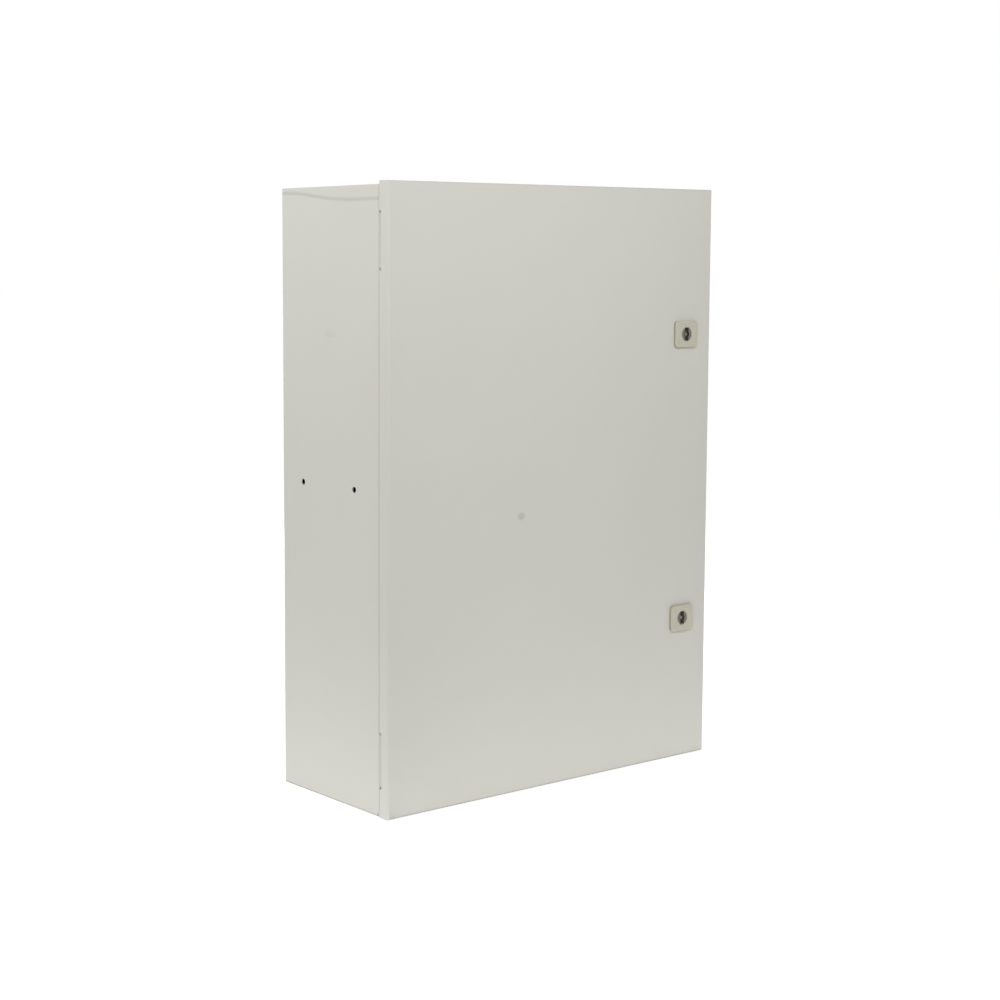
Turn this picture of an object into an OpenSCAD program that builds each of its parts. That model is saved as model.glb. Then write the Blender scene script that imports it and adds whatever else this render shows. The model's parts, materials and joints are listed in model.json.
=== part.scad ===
// Sheet-steel cabinet for electrical gear, with one concealed-hinge door and two quarter-turn locks.
// Frame: +Z up, the door faces -Y, the hinges are on the -X side, the wall is at +Y.
// The origin is at the middle of the base, halfway between the wall face and the door's front.

/* [Body] */
// Outer width of the body
body_w = 498; // [420:1:700]
// Outer height of the body
body_h = 697; // [600:1:1000]
// Outer depth of the body, from the wall face to the front flange
body_d = 185; // [150:1:300]
// Sheet thickness of the body
body_t = 1.5; // [1:0.1:2]
// Outer radius of the body's folds
body_bend_r = 2.5; // [1:0.1:4]
// Corner radius of the sealing lip, at the middle of its sheet
lip_corner_r = 12; // [8:1:20]
// Size of the relief at the lower front corners, where two folds meet
relief_size = 4; // [2:0.5:5]
// Depth of that relief, less than the sheet
relief_depth = 0.8; // [0.3:0.1:0.9]

/* [Fixing holes] */
// Radius of the four wall holes
wall_hole_r = 4.25; // [3:0.25:4.5]
// Distance of the wall holes from the body's sides
wall_hole_inset_x = 29; // [20:0.5:29]
// Distance of the wall holes from the body's ends
wall_hole_inset_z = 28.5; // [20:0.5:28.5]
// Radius of the side holes
side_hole_r = 3.5; // [2.5:0.25:5]
// Distance between the two side holes
side_hole_pitch = 98; // [60:1:110]
// Distance of the rear side hole from the wall face
side_hole_from_back = 41; // [25:1:50]
// Height of the side holes above the base
side_hole_z = 362; // [250:1:450]

/* [Door] */
// How far the door stands past the body at each side
door_overlap_side = 1; // [0:0.1:2]
// How far the door stands above the body
door_overlap_top = 3.5; // [0:0.1:5]
// Height of the door's lower edge above the base
door_lift = 0.5; // [0.3:0.1:3]
// Depth of the door's flanges, from its front face
door_d = 16; // [15:0.5:18]
// Sheet thickness of the door
door_t = 1.5; // [1.2:0.1:2]
// Outer radius of the door's folds
door_bend_r = 3; // [1:0.1:4]

/* [Door gasket] */
// Width of the foamed bead
gasket_w = 10; // [8:0.5:12]
// Height of the bead with the door shut
gasket_h = 7.5; // [6.5:0.1:9]

/* [Hinges] */
// Distance from the door's ends to the middle of each hinge
hinge_from_end = 64; // [50:1:120]
// Length of the hinge bracket
hinge_len = 60; // [50:1:80]
// Radius of the barrel on the door
barrel_r = 3.95; // [3.6:0.05:4.5]
// Length of the barrel on the door
barrel_len = 32; // [20:1:40]
// Radius of the hinge pin
pin_r = 2; // [1.5:0.05:2.4]
// Radial running clearance of the pin
pin_clear = 0.05; // [0.02:0.01:0.1]
// Thickness of the bracket's strip
strip_t = 2; // [1.5:0.1:2.2]
// Depth of the cut-outs in the door's hinge-side flange
notch_depth = 3; // [2:0.5:4]

/* [Locks] */
// Distance of the locks from the door's opening edge
lock_from_edge = 44.5; // [43.5:0.5:55]
// Distance of the locks from the door's ends
lock_from_end = 175; // [120:1:250]
// Width of the lock's face plate
plate_face_w = 38; // [32:0.5:46]
// Height of the lock's face plate
plate_face_h = 32; // [30:0.5:40]
// Thickness of the lock's face plate
plate_face_t = 3.6; // [3:0.1:5]
// Corner radius of the lock's face plate
plate_face_r = 5; // [2:0.5:8]
// Radius of the lock's threaded neck
neck_r = 11; // [10.5:0.1:11.5]
// Radius of the key insert's head
insert_r = 8.75; // [8:0.05:9.2]
// Radius of the key insert's shank
shank_r = 6; // [5.8:0.05:7]
// Length of the cam, from its axis to its tip
cam_len = 31; // [29:0.5:36]
// Width of the cam
cam_w = 16; // [14:0.5:18]
// Thickness of the cam
cam_t = 2.5; // [2:0.1:4]

/* [Door rails] */
// Distance of the rails from the door's upright edges
rail_from_edge = 85; // [80:1:110]
// Width of a rail
rail_w = 20; // [15:0.5:26]
// Depth of a rail
rail_d = 12; // [8:0.5:14]
// Sheet thickness of a rail
rail_t = 1.2; // [1:0.1:2]
// Distance between the holes of a rail
rail_pitch = 25; // [20:1:50]
// Radius of the holes of a rail
rail_hole_r = 2.25; // [1.5:0.25:3]

/* [Mounting plate] */
// Distance of the plate's edges from the body's sides
plate_margin_x = 34; // [34:0.5:45]
// Distance of the plate's edges from the body's ends
plate_margin_z = 33.5; // [33.5:0.5:45]
// Thickness of the plate
plate_t = 2; // [1.5:0.5:3]
// Cut across the plate's corners
plate_chamfer = 15; // [8:1:20]
// Space between the back wall and the plate
plate_space = 15; // [10:1:20]
// Distance of the plate's bolts from its edges
plate_bolt_inset = 20; // [18:1:30]

/* [Cable entry] */
// Length of the opening in the floor
gland_w = 280; // [200:1:320]
// Width of the opening in the floor
gland_d = 60; // [40:1:65]
// How far the gland plate reaches past the opening
gland_border = 20; // [18:1:24]
// Thickness of the gland plate
gland_t = 1.5; // [1:0.1:3]
// Thickness of the seal under the gland plate
gland_seal_t = 3; // [2:0.5:5]

/* [Hidden] */
$fn = 64;

paint = "#d2d2cb";
zinc = "#b9bcc0";
steel = "#8f9296";
foam = "#3b3b3d";
cream = "#d8d3c0";
insert_grey = "#55534f";
black_rubber = "#2a2a2c";
brass = "#b08d57";

// A cut runs this far past the faces that it opens
past = 1;
// Two forms of one solid run this far into each other
sink = 0.5;

// A clearance that is worked out is rounded up to a tenth
function up_to_tenth(v) = ceil(10 * v - 0.01) / 10;

// Overall sizes of the door
door_w = body_w + 2 * door_overlap_side;
door_h = body_h + door_overlap_top - door_lift;
door_inner = door_d - door_t;
min_fold_r = 0.3;

// The hinge axis lies in the fold of the door, one barrel away from both inner faces
barrel_seat = 0.05;
hinge_inset = door_t + barrel_r + barrel_seat;
swing_clear = 0.4;
flange_reach = door_d - hinge_inset;
flange_sweep_r = sqrt(pow(hinge_inset, 2) + pow(flange_reach, 2));
door_gap = up_to_tenth(flange_sweep_r + swing_clear - flange_reach);
total_d = body_d + door_gap + door_d;

// Main planes
back_y = total_d / 2;
front_y = back_y - body_d;
door_y = -total_d / 2;
door_back_y = door_y + door_t;
hinge_x = -door_w / 2 + hinge_inset;
hinge_y = door_y + hinge_inset;
door_z0 = door_lift;
door_z1 = door_lift + door_h;
axis_to_body = front_y - hinge_y;
rear_side_hole_y = back_y - side_hole_from_back;
side_hole_ys = [rear_side_hole_y, rear_side_hole_y - side_hole_pitch];

// Hinge bracket, bent from strip round the path of the door's flange
barrel_step = 0.35;
fixed_barrel_r = barrel_r - barrel_step;
arm_set_back = 0.1;
arm_front = fixed_barrel_r - arm_set_back;
notch_reach = flange_reach - notch_depth;
notch_sweep_r = sqrt(pow(hinge_inset, 2) + pow(notch_reach, 2));
wall_in = up_to_tenth(notch_sweep_r + 2 * swing_clear);
wall_out = wall_in + strip_t;
foot_left = -hinge_inset / 2;
bend_out_r = 3;
bend_in_r = bend_out_r - strip_t;
barrel_play = 0.2;
window_margin = 0.5;
window_end = notch_sweep_r - window_margin;
window_front = fixed_barrel_r + past;
window_len = barrel_len + 2 * barrel_play;
tab_margin = 1;
notch_end_clear = 2;
notch_len = hinge_len + 2 * notch_end_clear;
hinge_zs = [door_z1 - hinge_from_end, door_z0 + hinge_from_end];
pin_head_r = 3;
pin_head_t = 1.5;
pin_tail = 2;

// Sealing lip and opening: the bead clears the hinge bracket and the lip bears on its middle
gasket_side_clear = 1.05;
gasket_lip_clear = 0.3;
lip_mid = hinge_inset - door_overlap_side + wall_out + gasket_side_clear + gasket_w / 2;
lip_h = door_inner + door_gap - gasket_h - gasket_lip_clear;
lip_w = body_w - 2 * lip_mid;
lip_hh = body_h - 2 * lip_mid;
body_mid_z = body_h / 2;

// Lock stack, measured back from the door's front face
lock_x = door_w / 2 - lock_from_edge;
lock_zs = [door_z1 - lock_from_end, door_z0 + lock_from_end];
cam_clear = 1;
turn_clear = 0.05;
cam_front = door_d + door_gap + body_t + cam_clear;
neck_clear = 0.3;
neck_end = cam_front - neck_clear;
neck_flat_cut = 0.9;
neck_flat = neck_r - neck_flat_cut;
neck_hole_play = 0.2;
insert_set_back = 0.6;
insert_head_t = 6;
head_play = 0.1;
face_chamfer = 0.9;
keyway_r = 4.5;
key_pin_r = 2.5;
key_pin_set_back = 1;
key_wing_w = 6.5;
key_wing_r = 8;
keyway_d = 4.5;
square_side = 8;
square_play = 0.05;
square_margin = 0.2;
lock_nut_af = 27;
lock_nut_t = 5;
lock_seal_t = 1;
lock_seal_r = 14;
lock_seal_play = 0.1;
cam_screw_r = 3;
cam_screw_len = 8;
cam_washer_r = 7;
cam_washer_t = 1.2;
cam_head_af = 10;
cam_head_t = 4;

// Fasteners: radius, nut width across flats, nut height, washer radius, washer thickness
m6 = [3, 10, 5, 6, 1.2];
m8 = [4, 13, 6.5, 8, 1.6];
hole_play = 0.25;

// Mounting plate and its bolts
plate_w = body_w - 2 * plate_margin_x;
plate_h = body_h - 2 * plate_margin_z;
plate_back_y = back_y - body_t - plate_space;
plate_front_y = plate_back_y - plate_t;
plate_bolts = [for (sx = [-1, 1], sz = [-1, 1])
    [sx * (plate_w / 2 - plate_bolt_inset), body_mid_z + sz * (plate_h / 2 - plate_bolt_inset)]];
spacer_r = 8;
stud_tail = 4.5;
plate_stud_len = plate_space + plate_t + m8[4] + m8[2] + stud_tail;

// Cable entry in the floor
gland_y = back_y - body_d / 2;
gland_plate_w = gland_w + 2 * gland_border;
gland_plate_d = gland_d + 2 * gland_border;
gland_corner_r = 6;
gland_bolts = [for (x = [-1, 0, 1], sy = [-1, 1])
    [x * (gland_w + gland_border) / 2, gland_y + sy * (gland_d + gland_border) / 2]];
gland_plate_z = body_t + gland_seal_t;
gland_stud_tail = 3;
gland_stud_len = gland_seal_t + gland_t + m6[2] + gland_stud_tail;

// Earth studs
earth_z = 70;
body_earth_from_front = 60;
body_earth_y = front_y + body_earth_from_front;
door_earth_from_edge = 60;
door_earth_x = -door_w / 2 + door_earth_from_edge;
earth_stud_tail = 6;

// Rails on the inside of the door
rail_end_margin = lip_mid + gasket_w;
rail_len = body_h - 2 * rail_end_margin;
rail_holes = floor((rail_len - rail_pitch) / rail_pitch);

// A rectangle with round corners, centred
module rounded_rect(w, h, r) {
    square([w - 2 * r, h], center = true);
    square([w, h - 2 * r], center = true);
    for (sx = [-1, 1], sy = [-1, 1])
        translate([sx * (w / 2 - r), sy * (h / 2 - r)]) circle(r);
}

// An outline drawn in X and Z, pushed back from the plane y by a depth
module push_back(y, depth) {
    translate([0, y + depth, 0]) rotate([90, 0, 0]) linear_extrude(depth) children();
}

// A round bar that runs back from the plane y
module bar_y(x, y, z, r, depth) {
    translate([x, y, z]) rotate([-90, 0, 0]) cylinder(depth, r, r);
}

// A hexagon that runs back from the plane y, with two flats upright
module hex_y(x, y, z, across, depth) {
    translate([x, y, z]) rotate([-90, 0, 0]) rotate(30) cylinder(depth, d = across / cos(30), $fn = 6);
}

// A hexagon nut or a washer along Y, bored for its bolt
module nut_y(x, y, z, size) {
    difference() {
        hex_y(x, y, z, size[1], size[2]);
        bar_y(x, y - past, z, size[0], size[2] + 2 * past);
    }
}

module washer_y(x, y, z, size) {
    difference() {
        bar_y(x, y, z, size[3], size[4]);
        bar_y(x, y - past, z, size[0] + hole_play, size[4] + 2 * past);
    }
}

// The body's outer form: the upright folds and the folds along its depth meet in mitres
module body_block() {
    intersection() {
        translate([0, gland_y, 0]) linear_extrude(body_h) rounded_rect(body_w, body_d, body_bend_r);
        push_back(front_y, body_d) translate([0, body_mid_z]) rounded_rect(body_w, body_h, body_bend_r);
    }
}

// The outline of the sealing lip, grown or shrunk by half the sheet
module lip_outline(grow) {
    translate([0, body_mid_z])
        rounded_rect(lip_w + 2 * grow, lip_hh + 2 * grow, lip_corner_r + grow);
}

// Folded and welded body: five walls, a front flange and the lip that stands into the door
module cabinet_shell() {
    color(paint) difference() {
        union() {
            difference() {
                body_block();
                translate([-body_w / 2 + body_t, front_y + body_t, body_t])
                    cube([body_w - 2 * body_t, body_d - 2 * body_t, body_h - 2 * body_t]);
            }
            push_back(front_y - lip_h, lip_h + body_t / 2) lip_outline(body_t / 2);
        }
        push_back(front_y - lip_h - past, lip_h + body_t + 2 * past) lip_outline(-body_t / 2);
        for (sx = [-1, 1], sz = [-1, 1])
            bar_y(sx * (body_w / 2 - wall_hole_inset_x), back_y - body_t - past,
                  body_mid_z + sz * (body_h / 2 - wall_hole_inset_z), wall_hole_r, body_t + 2 * past);
        for (sx = [-1, 1], y = side_hole_ys)
            translate([sx * (body_w / 2 - body_t / 2), y, side_hole_z])
                rotate([0, 90, 0]) cylinder(body_t + 2 * past, side_hole_r, side_hole_r, center = true);
        translate([0, gland_y, -past]) linear_extrude(body_t + 2 * past)
            rounded_rect(gland_w, gland_d, gland_corner_r);
        for (sx = [-1, 1])
            translate([sx * body_w / 2, front_y, 0])
                cube([2 * relief_depth, 2 * relief_size, 2 * relief_size], center = true);
    }
}

// Six studs welded to the floor round the cable entry
module gland_studs() {
    color(steel) for (p = gland_bolts)
        translate([p[0], p[1], body_t]) cylinder(gland_stud_len, m6[0], m6[0]);
}

// A gland plate or its seal: a flat piece with the stud holes
module gland_blank(z, t) {
    difference() {
        translate([0, gland_y, z]) linear_extrude(t)
            rounded_rect(gland_plate_w, gland_plate_d, gland_corner_r);
        for (p = gland_bolts)
            translate([p[0], p[1], z - past]) cylinder(t + 2 * past, r = m6[0] + hole_play);
    }
}

// Foam frame between the floor and the gland plate
module gland_seal() {
    color(foam) difference() {
        gland_blank(body_t, gland_seal_t);
        translate([0, gland_y, body_t - past]) linear_extrude(gland_seal_t + 2 * past)
            rounded_rect(gland_w, gland_d, gland_corner_r);
    }
}

// Plain plate over the cable entry, drilled by the user
module gland_plate() {
    color(paint) gland_blank(gland_plate_z, gland_t);
}

module gland_nuts() {
    color(zinc) for (p = gland_bolts)
        translate([p[0], p[1], gland_plate_z + gland_t]) difference() {
            cylinder(m6[2], d = m6[1] / cos(30), $fn = 6);
            translate([0, 0, -past]) cylinder(m6[2] + 2 * past, m6[0], m6[0]);
        }
}

// Four studs welded to the back wall
module plate_studs() {
    color(steel) for (p = plate_bolts)
        bar_y(p[0], back_y - body_t - plate_stud_len, p[1], m8[0], plate_stud_len);
}

// Tubes that hold the plate off the back wall
module plate_spacers() {
    color(zinc) for (p = plate_bolts)
        difference() {
            bar_y(p[0], plate_back_y, p[1], spacer_r, plate_space);
            bar_y(p[0], plate_back_y - past, p[1], m8[0] + hole_play, plate_space + 2 * past);
        }
}

// Galvanised plate with cut corners, on which the gear is mounted
module mounting_plate() {
    w = plate_w / 2;
    h = plate_h / 2;
    c = plate_chamfer;
    color(zinc) difference() {
        push_back(plate_front_y, plate_t) translate([0, body_mid_z])
            polygon([[-w + c, -h], [w - c, -h], [w, -h + c], [w, h - c],
                     [w - c, h], [-w + c, h], [-w, h - c], [-w, -h + c]]);
        for (p = plate_bolts)
            bar_y(p[0], plate_front_y - past, p[1], m8[0] + hole_play, plate_t + 2 * past);
    }
}

module plate_washers() {
    color(steel) for (p = plate_bolts)
        washer_y(p[0], plate_front_y - m8[4], p[1], m8);
}

module plate_nuts() {
    color(zinc) for (p = plate_bolts)
        nut_y(p[0], plate_front_y - m8[4] - m8[2], p[1], m8);
}

// Earth stud on the left wall; its washer and nut are drawn along Y and turned to lie along X
module on_left_wall() {
    translate([-body_w / 2 + body_t, body_earth_y, earth_z]) rotate([0, 0, -90]) children();
}

module body_earth_stud() {
    color(brass) on_left_wall() bar_y(0, 0, 0, m8[0], m8[4] + m8[2] + earth_stud_tail);
}

module body_earth_washer() {
    color(zinc) on_left_wall() washer_y(0, 0, 0, m8);
}

module body_earth_nut() {
    color(brass) on_left_wall() nut_y(0, m8[4], 0, m8);
}

// Hinge bracket: foot on the front flange, wall, and an arm with two barrels round the pin
module hinge_bracket(z) {
    color(paint) translate([hinge_x, hinge_y, z]) difference() {
        translate([0, 0, -hinge_len / 2]) linear_extrude(hinge_len) difference() {
            union() {
                difference() {
                    translate([0, (axis_to_body - arm_front) / 2])
                        rounded_rect(2 * wall_out, axis_to_body + arm_front, bend_out_r);
                    translate([0, (axis_to_body - arm_front) / 2])
                        rounded_rect(2 * wall_in, axis_to_body + arm_front - 2 * strip_t, bend_in_r);
                    translate([-2 * wall_out, -arm_front - past])
                        square([2 * wall_out, axis_to_body + arm_front - strip_t]);
                    translate([foot_left - 2 * wall_out, 0]) square([2 * wall_out, axis_to_body + past]);
                }
                circle(fixed_barrel_r);
            }
            circle(pin_r + pin_clear);
        }
        translate([-window_front, -window_front, -window_len / 2])
            cube([window_front + window_end, 2 * window_front, window_len]);
    }
}

module upper_hinge_bracket() { hinge_bracket(hinge_zs[0]); }

module lower_hinge_bracket() { hinge_bracket(hinge_zs[1]); }

// Hinge pin with a flat head on the upper barrel
module hinge_pin(z) {
    color(steel) translate([hinge_x, hinge_y, z - hinge_len / 2 - pin_tail]) {
        cylinder(hinge_len + pin_tail, pin_r, pin_r);
        translate([0, 0, hinge_len + pin_tail]) cylinder(pin_head_t, pin_head_r, pin_head_r);
    }
}

module upper_hinge_pin() { hinge_pin(hinge_zs[0]); }

module lower_hinge_pin() { hinge_pin(hinge_zs[1]); }

// The folded pan, its front edges rounded, grown inwards by a wall
module door_pan(wall, depth) {
    r = max(door_bend_r - wall, min_fold_r);
    w = door_w - 2 * wall;
    h = door_h - 2 * wall;
    mid_z = (door_z0 + door_z1) / 2;
    intersection() {
        translate([0, door_y + wall + depth, door_z0 + wall]) linear_extrude(h)
            rounded_rect(w, 2 * depth, r);
        translate([-w / 2, door_y + wall + depth, mid_z]) rotate([90, 0, 90]) linear_extrude(w)
            rounded_rect(2 * depth, h, r);
        translate([-w, door_y + wall, door_z0]) cube([2 * w, depth, door_h]);
    }
}

// Folded door with four flanges, hinge cut-outs in the left one and two flatted lock holes
module door_panel() {
    color(paint) difference() {
        door_pan(0, door_d);
        door_pan(door_t, door_d);
        for (z = hinge_zs)
            translate([-door_w / 2 - past, door_y + door_d - notch_depth, z - notch_len / 2])
                cube([door_t + 2 * past, notch_depth + past, notch_len]);
        for (z = lock_zs)
            push_back(door_y - past, door_t + 2 * past)
                translate([lock_x, z]) neck_outline(neck_hole_play);
    }
}

// One straight run of the bead along X, from its middle: flat on the door, round towards the lip
module bead_section() {
    dome_r = gasket_w / 2;
    intersection() {
        union() {
            translate([-dome_r, 0]) square([gasket_w, gasket_h - dome_r]);
            translate([0, gasket_h - dome_r]) circle(dome_r);
        }
        translate([-gasket_w, 0]) square([2 * gasket_w, 2 * gasket_h]);
    }
}

// Foamed bead on the inside of the door, in line with the lip
module door_gasket() {
    x = lip_w / 2 - lip_corner_r;
    z = lip_hh / 2 - lip_corner_r;
    color(foam) translate([0, door_back_y, body_mid_z]) rotate([-90, 0, 0]) {
        for (s = [-1, 1]) {
            translate([-x, s * lip_hh / 2, 0]) rotate([90, 0, 90]) linear_extrude(2 * x) bead_section();
            translate([s * lip_w / 2, z, 0]) rotate([90, 0, 0]) linear_extrude(2 * z) bead_section();
        }
        for (k = [0:3])
            translate([(k == 0 || k == 3 ? 1 : -1) * x, (k < 2 ? 1 : -1) * z, 0]) rotate(90 * k)
                rotate_extrude(angle = 90) translate([lip_corner_r, 0]) bead_section();
    }
}

// Channel welded to the inside of the door, with a row of holes in its crown
module door_rail(x) {
    color(paint) translate([x, door_back_y, 0]) difference() {
        translate([-rail_w / 2, 0, rail_end_margin]) cube([rail_w, rail_d, rail_len]);
        translate([-rail_w / 2 + rail_t, -past, rail_end_margin - past])
            cube([rail_w - 2 * rail_t, rail_d - rail_t + past, rail_len + 2 * past]);
        for (k = [0:rail_holes - 1])
            bar_y(0, rail_d - rail_t - past, body_mid_z + (k - (rail_holes - 1) / 2) * rail_pitch,
                  rail_hole_r, rail_t + 2 * past);
    }
}

module left_door_rail() { door_rail(-door_w / 2 + rail_from_edge); }

module right_door_rail() { door_rail(door_w / 2 - rail_from_edge); }

// Barrel with a tab, welded into the fold of the door
module hinge_leaf(z) {
    color(paint) translate([hinge_x, hinge_y, z - barrel_len / 2]) linear_extrude(barrel_len)
        difference() {
            union() {
                circle(barrel_r);
                translate([-barrel_r - barrel_seat, 0]) square([strip_t, notch_reach - tab_margin]);
            }
            circle(pin_r + pin_clear);
        }
}

module upper_hinge_leaf() { hinge_leaf(hinge_zs[0]); }

module lower_hinge_leaf() { hinge_leaf(hinge_zs[1]); }

// Earth stud on the inside of the door
module door_earth_stud() {
    color(brass) bar_y(door_earth_x, door_back_y, earth_z, m6[0], m6[4] + m6[2] + earth_stud_tail);
}

module door_earth_washer() {
    color(zinc) washer_y(door_earth_x, door_back_y, earth_z, m6);
}

module door_earth_nut() {
    color(brass) nut_y(door_earth_x, door_back_y + m6[4], earth_z, m6);
}

// Round neck with two flats that keep the lock from turning in the door
module neck_outline(play) {
    intersection() {
        circle(neck_r + play);
        square([2 * (neck_flat + play), 4 * neck_r], center = true);
    }
}

// A plate with its front edges cut back on all four sides, drawn from the door's front face forwards
module face_plate() {
    c = face_chamfer;
    t = plate_face_t;
    w = plate_face_w / 2;
    h = plate_face_h / 2;
    intersection() {
        push_back(-t, t) rounded_rect(plate_face_w, plate_face_h, plate_face_r);
        translate([0, 0, -h]) linear_extrude(2 * h)
            polygon([[-w, 0], [w, 0], [w, c - t], [w - c, -t], [c - w, -t], [-w, c - t]]);
        translate([-w, 0, 0]) rotate([90, 0, 90]) linear_extrude(2 * w)
            polygon([[0, -h], [0, h], [c - t, h], [-t, h - c], [-t, c - h], [c - t, -h]]);
    }
}

// Moulded lock housing: face plate, threaded neck through the door, stepped bore for the insert
module lock_housing(z) {
    step_y = insert_set_back + insert_head_t - plate_face_t + head_play;
    color(cream) translate([lock_x, door_y, z]) difference() {
        union() {
            difference() {
                face_plate();
                bar_y(0, -lock_seal_t, 0, lock_seal_r + lock_seal_play, lock_seal_t + past);
            }
            push_back(-plate_face_t / 2, neck_end + plate_face_t / 2) neck_outline(0);
        }
        bar_y(0, -plate_face_t - past, 0, insert_r + turn_clear, step_y + plate_face_t + past);
        bar_y(0, 0, 0, shank_r + turn_clear, neck_end + past);
    }
}

module upper_lock_housing() { lock_housing(lock_zs[0]); }

module lower_lock_housing() { lock_housing(lock_zs[1]); }

// Rubber ring in the recess behind the face plate
module lock_seal(z) {
    color(black_rubber) difference() {
        bar_y(lock_x, door_y - lock_seal_t, z, lock_seal_r, lock_seal_t);
        bar_y(lock_x, door_y - lock_seal_t - past, z, neck_r + neck_hole_play, lock_seal_t + 2 * past);
    }
}

module upper_lock_seal() { lock_seal(lock_zs[0]); }

module lower_lock_seal() { lock_seal(lock_zs[1]); }

// Thin nut that clamps the housing to the door
module lock_nut(z) {
    color(zinc) difference() {
        hex_y(lock_x, door_back_y, z, lock_nut_af, lock_nut_t);
        bar_y(lock_x, door_back_y - past, z, neck_r + turn_clear, lock_nut_t + 2 * past);
    }
}

module upper_lock_nut() { lock_nut(lock_zs[0]); }

module lower_lock_nut() { lock_nut(lock_zs[1]); }

// Key insert: head with a double-bit keyway round a pin, shank, and a square for the cam
module lock_insert(z) {
    front = insert_set_back - plate_face_t;
    head_end = front + insert_head_t;
    color(insert_grey) translate([lock_x, door_y, z]) difference() {
        union() {
            difference() {
                bar_y(0, front, 0, insert_r, insert_head_t);
                bar_y(0, front - past, 0, keyway_r, keyway_d + past);
                translate([-key_wing_w / 2, front - past, -key_wing_r])
                    cube([key_wing_w, keyway_d + past, 2 * key_wing_r]);
            }
            bar_y(0, front + key_pin_set_back, 0, key_pin_r, keyway_d - key_pin_set_back + sink);
            bar_y(0, head_end - sink, 0, shank_r, cam_front - head_end + sink);
            translate([-square_side / 2, cam_front - sink, -square_side / 2])
                cube([square_side, cam_t + sink - square_margin, square_side]);
        }
        bar_y(0, cam_front + cam_t - cam_screw_len, 0, cam_screw_r, cam_screw_len + past);
    }
}

module upper_lock_insert() { lock_insert(lock_zs[0]); }

module lower_lock_insert() { lock_insert(lock_zs[1]); }

// Flat cam on the square, hanging down while the lock is open
module lock_cam(z) {
    hole = square_side + 2 * square_play;
    color(zinc) push_back(door_y + cam_front, cam_t) translate([lock_x, z]) difference() {
        union() {
            circle(cam_w / 2);
            translate([-cam_w / 2, -cam_len + cam_w / 2]) square([cam_w, cam_len - cam_w / 2]);
            translate([0, -cam_len + cam_w / 2]) circle(cam_w / 2);
        }
        square([hole, hole], center = true);
    }
}

module upper_lock_cam() { lock_cam(lock_zs[0]); }

module lower_lock_cam() { lock_cam(lock_zs[1]); }

// Hexagon screw with a washer face, which holds the cam on the square
module cam_screw(z) {
    seat = door_y + cam_front + cam_t;
    color(steel) {
        bar_y(lock_x, seat - cam_screw_len, z, cam_screw_r, cam_screw_len + cam_washer_t);
        bar_y(lock_x, seat, z, cam_washer_r, cam_washer_t);
        hex_y(lock_x, seat + cam_washer_t / 2, z, cam_head_af, cam_head_t + cam_washer_t / 2);
    }
}

module upper_cam_screw() { cam_screw(lock_zs[0]); }

module lower_cam_screw() { cam_screw(lock_zs[1]); }

cabinet_shell();
gland_studs();
gland_seal();
gland_plate();
gland_nuts();
plate_studs();
plate_spacers();
mounting_plate();
plate_washers();
plate_nuts();
body_earth_stud();
body_earth_washer();
body_earth_nut();
upper_hinge_bracket();
lower_hinge_bracket();
upper_hinge_pin();
lower_hinge_pin();
door_panel();
door_gasket();
left_door_rail();
right_door_rail();
upper_hinge_leaf();
lower_hinge_leaf();
door_earth_stud();
door_earth_washer();
door_earth_nut();
upper_lock_housing();
lower_lock_housing();
upper_lock_seal();
lower_lock_seal();
upper_lock_nut();
lower_lock_nut();
upper_lock_insert();
lower_lock_insert();
upper_lock_cam();
lower_lock_cam();
upper_cam_screw();
lower_cam_screw();
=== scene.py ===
"""Finishes, fittings and studio for a light grey sheet-steel cabinet with one door and two locks."""
import json
import math

import bpy
from mathutils import Matrix, Vector


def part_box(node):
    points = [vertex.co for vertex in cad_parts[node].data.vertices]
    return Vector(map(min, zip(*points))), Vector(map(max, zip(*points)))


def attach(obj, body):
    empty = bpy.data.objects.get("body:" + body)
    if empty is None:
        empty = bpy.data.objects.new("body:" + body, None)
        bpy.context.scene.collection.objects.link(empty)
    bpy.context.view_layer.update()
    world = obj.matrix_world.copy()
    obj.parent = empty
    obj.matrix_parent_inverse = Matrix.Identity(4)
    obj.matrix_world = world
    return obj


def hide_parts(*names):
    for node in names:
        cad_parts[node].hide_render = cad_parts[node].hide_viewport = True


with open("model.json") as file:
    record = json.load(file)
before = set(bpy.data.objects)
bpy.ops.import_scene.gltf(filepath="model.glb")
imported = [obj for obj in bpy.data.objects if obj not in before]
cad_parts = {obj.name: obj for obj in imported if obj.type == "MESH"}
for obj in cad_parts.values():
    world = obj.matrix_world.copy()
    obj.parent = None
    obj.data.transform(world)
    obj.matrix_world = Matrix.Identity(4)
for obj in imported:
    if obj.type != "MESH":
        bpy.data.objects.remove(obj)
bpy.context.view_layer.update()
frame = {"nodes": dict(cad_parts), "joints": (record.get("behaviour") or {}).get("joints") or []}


# Cabinet shell: 1.5 mm sheet steel, folded and welded, then powder coated light grey inside and out.
# The coat has a fine orange peel. A shallow crease runs along the left wall under the top fold, with
# painted shade darkening its line, and the coat of that wall is faintly scuffed.
MM = 0.001


def seen_colour(code):
    """Linear colour of a hex code as it is seen."""
    levels = [int(code[k:k + 2], 16) / 255 for k in (1, 3, 5)]
    return [v / 12.92 if v < 0.04045 else ((v + 0.055) / 1.055) ** 2.4 for v in levels] + [1]


def add_node(tree, kind, sockets, **options):
    """Adds a shader node; each socket gets a plain value or a link from another node."""
    node = tree.nodes.new(kind)
    for name, value in options.items():
        setattr(node, name, value)
    for name, value in sockets.items():
        if isinstance(value, bpy.types.NodeSocket):
            tree.links.new(value, node.inputs[name])
        else:
            node.inputs[name].default_value = value
    return node


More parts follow.
